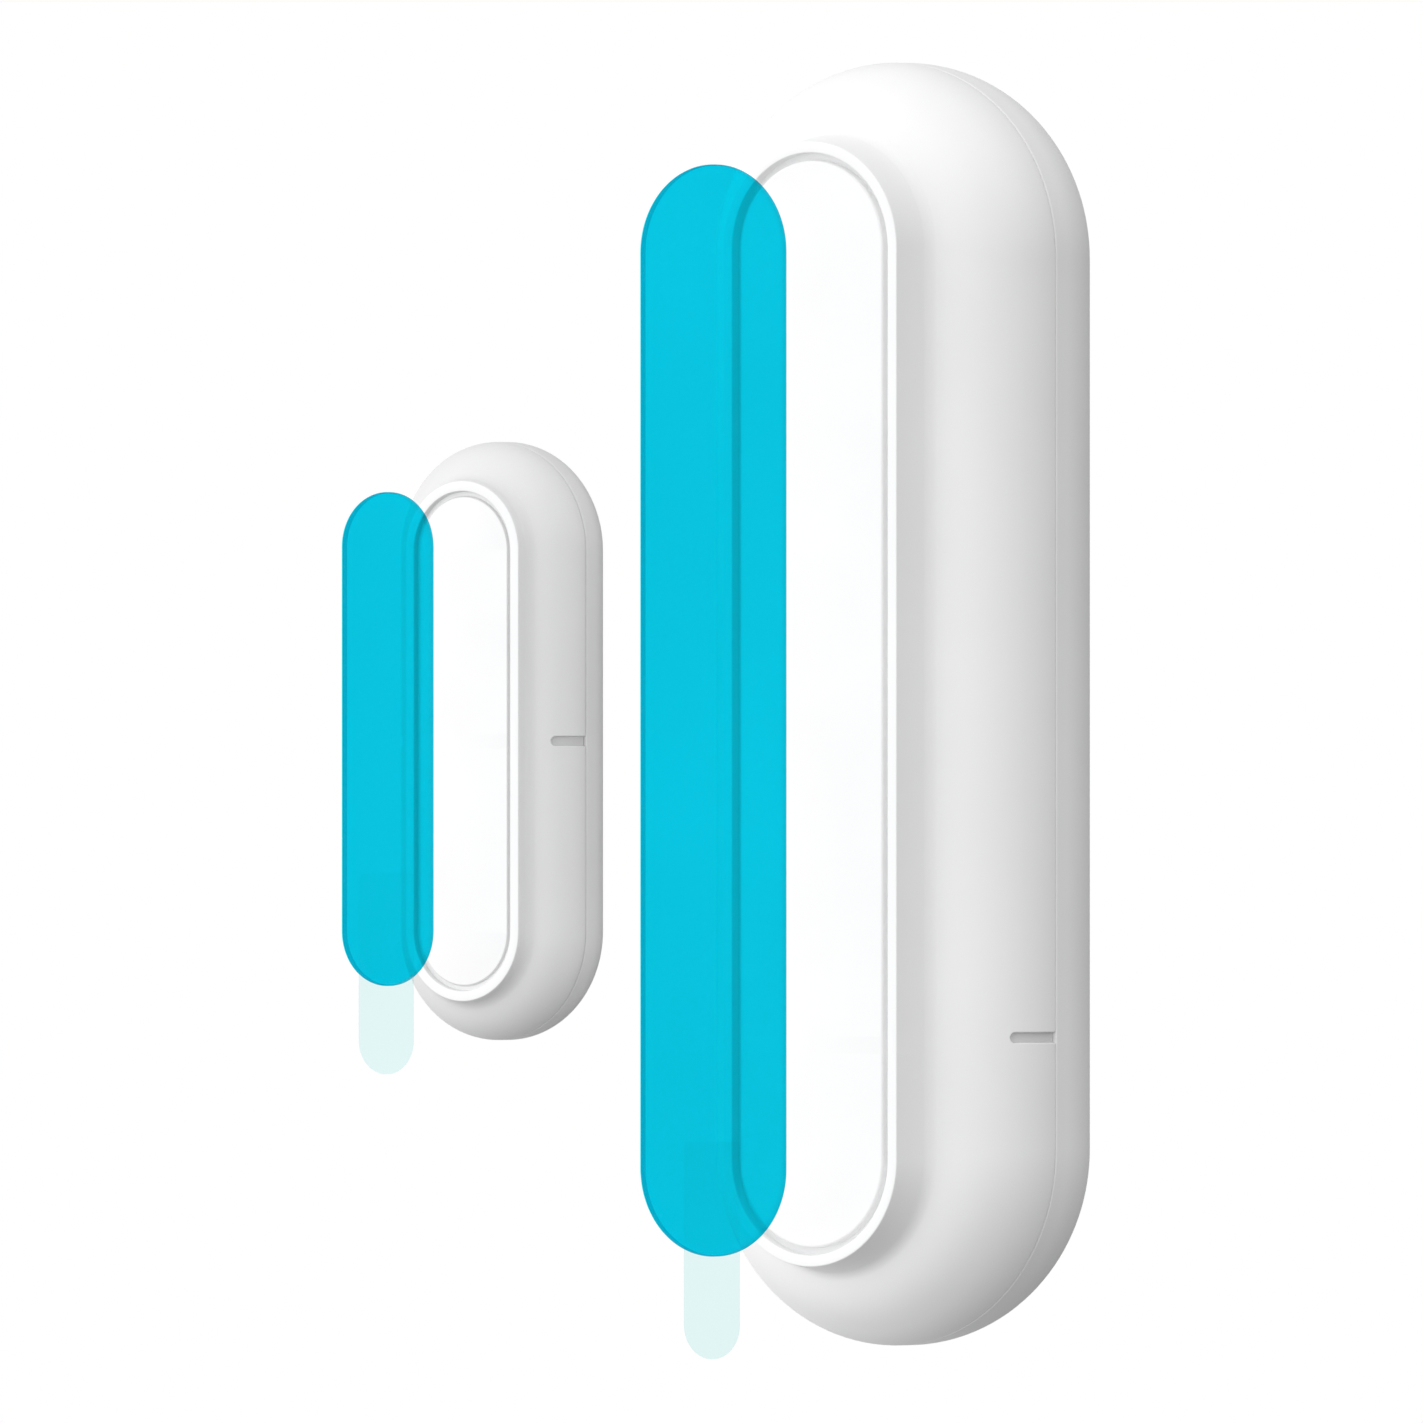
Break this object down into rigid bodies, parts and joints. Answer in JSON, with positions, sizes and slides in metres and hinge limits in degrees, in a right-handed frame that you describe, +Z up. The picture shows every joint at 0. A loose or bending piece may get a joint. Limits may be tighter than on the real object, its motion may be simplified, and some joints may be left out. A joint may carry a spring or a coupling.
{
  "type": "door contact sensor",
  "caption": "Pill-shaped magnetic door contact: long battery sensor housing and short magnet unit, each with a pull-tab adhesive strip behind its back.",
  "frame": {"origin": "centre of the adhesive landing pad on the back of the sensor housing", "axes": "+Z up along the sensor housing, +Y out of the back towards the wall or door frame it is stuck to, +X from the sensor housing towards the magnet unit"},
  "size_m": [0.0517, 0.032, 0.0906],
  "materials": {
    "white_shell": "satin moulded white ABS with a fine spark texture",
    "chassis_plastic": "matt light grey moulded plastic",
    "black_plastic": "matt black plastic and moulding compound",
    "board": "green solder mask over glass fibre laminate",
    "bright_metal": "bright nickel plating",
    "tinned_steel": "dull tinned steel",
    "gold_contact": "gold flashed spring bronze",
    "cell_sleeve": "shrunk blue PVC sleeve",
    "ceramic": "sintered ceramic chip",
    "clear_glass": "clear green tinted glass",
    "clear_plastic": "frosted clear acrylic",
    "led_lens": "milky moulded lens",
    "blue_adhesive": "translucent blue stretch adhesive",
    "blue_liner": "translucent blue release film",
    "mint_film": "pale mint translucent film",
    "foam": "fine open cell foam"
  },
  "bodies": {
    "sensor_housing": {"sensor_back_shell": "white_shell", "inner_chassis": "chassis_plastic", "board_screws": "tinned_steel", "circuit_board": "board", "battery_can": "bright_metal", "battery_sleeve": "cell_sleeve", "battery_spring": "gold_contact", "battery_contact": "gold_contact", "reed_glass": "clear_glass", "reed_fixed_blade": "bright_metal", "reed_lead": "bright_metal", "radio_shield": "tinned_steel", "processor_chip": "black_plastic", "crystal": "tinned_steel", "stamped_antenna": "gold_contact", "capacitors": "ceramic", "resistors": "black_plastic", "status_led": "led_lens", "setup_switch": "black_plastic"},
    "sensor_cover": {"sensor_front_cover": "white_shell", "light_pipe": "clear_plastic"},
    "setup_button": {"setup_plunger": "black_plastic"},
    "reed_blade": {"reed_moving_blade": "bright_metal"},
    "sensor_adhesive": {"sensor_strip": "blue_adhesive", "sensor_pull_tab": "mint_film"},
    "sensor_release_film": {"sensor_liner": "blue_liner"},
    "magnet_unit": {"magnet_back_shell": "white_shell", "magnet_cradle": "chassis_plastic", "bar_magnet": "bright_metal", "magnet_foam": "foam"},
    "magnet_cover": {"magnet_front_cover": "white_shell"},
    "magnet_adhesive": {"magnet_strip": "blue_adhesive", "magnet_pull_tab": "mint_film"},
    "magnet_release_film": {"magnet_liner": "blue_liner"}
  },
  "joints": [
    {"name": "sensor_cover_pull", "type": "slide", "parent": "sensor_housing", "child": "sensor_cover", "axis": [0, -1, 0], "range_m": [0, 0.03]},
    {"name": "setup_button_press", "type": "slide", "parent": "sensor_housing", "child": "setup_button", "axis": [0, 1, 0], "range_m": [0, 0.00025], "stiffness_N_per_m": 1500},
    {"name": "reed_blade_flex", "type": "hinge", "parent": "sensor_housing", "child": "reed_blade", "pos_m": [0.0074, -0.0107, -0.01795], "axis": [-1, 0, 0], "range_deg": [0, 1.5], "stiffness_Nm_per_rad": 0.000002},
    {"name": "sensor_strip_seat", "type": "slide", "parent": "sensor_housing", "child": "sensor_adhesive", "axis": [0, -1, 0], "range_m": [0, 0.01133]},
    {"name": "sensor_liner_peel", "type": "slide", "parent": "sensor_adhesive", "child": "sensor_release_film", "axis": [0, 1, 0], "range_m": [0, 0.02]},
    {"name": "magnet_travel", "type": "slide", "parent": "sensor_housing", "child": "magnet_unit", "axis": [1, 0, 0], "range_m": [-0.0065, 0.06]},
    {"name": "magnet_cover_pull", "type": "slide", "parent": "magnet_unit", "child": "magnet_cover", "axis": [0, -1, 0], "range_m": [0, 0.015]},
    {"name": "magnet_strip_seat", "type": "slide", "parent": "magnet_unit", "child": "magnet_adhesive", "axis": [0, -1, 0], "range_m": [0, 0.00866]},
    {"name": "magnet_liner_peel", "type": "slide", "parent": "magnet_adhesive", "child": "magnet_release_film", "axis": [0, 1, 0], "range_m": [0, 0.02]}
  ]
}
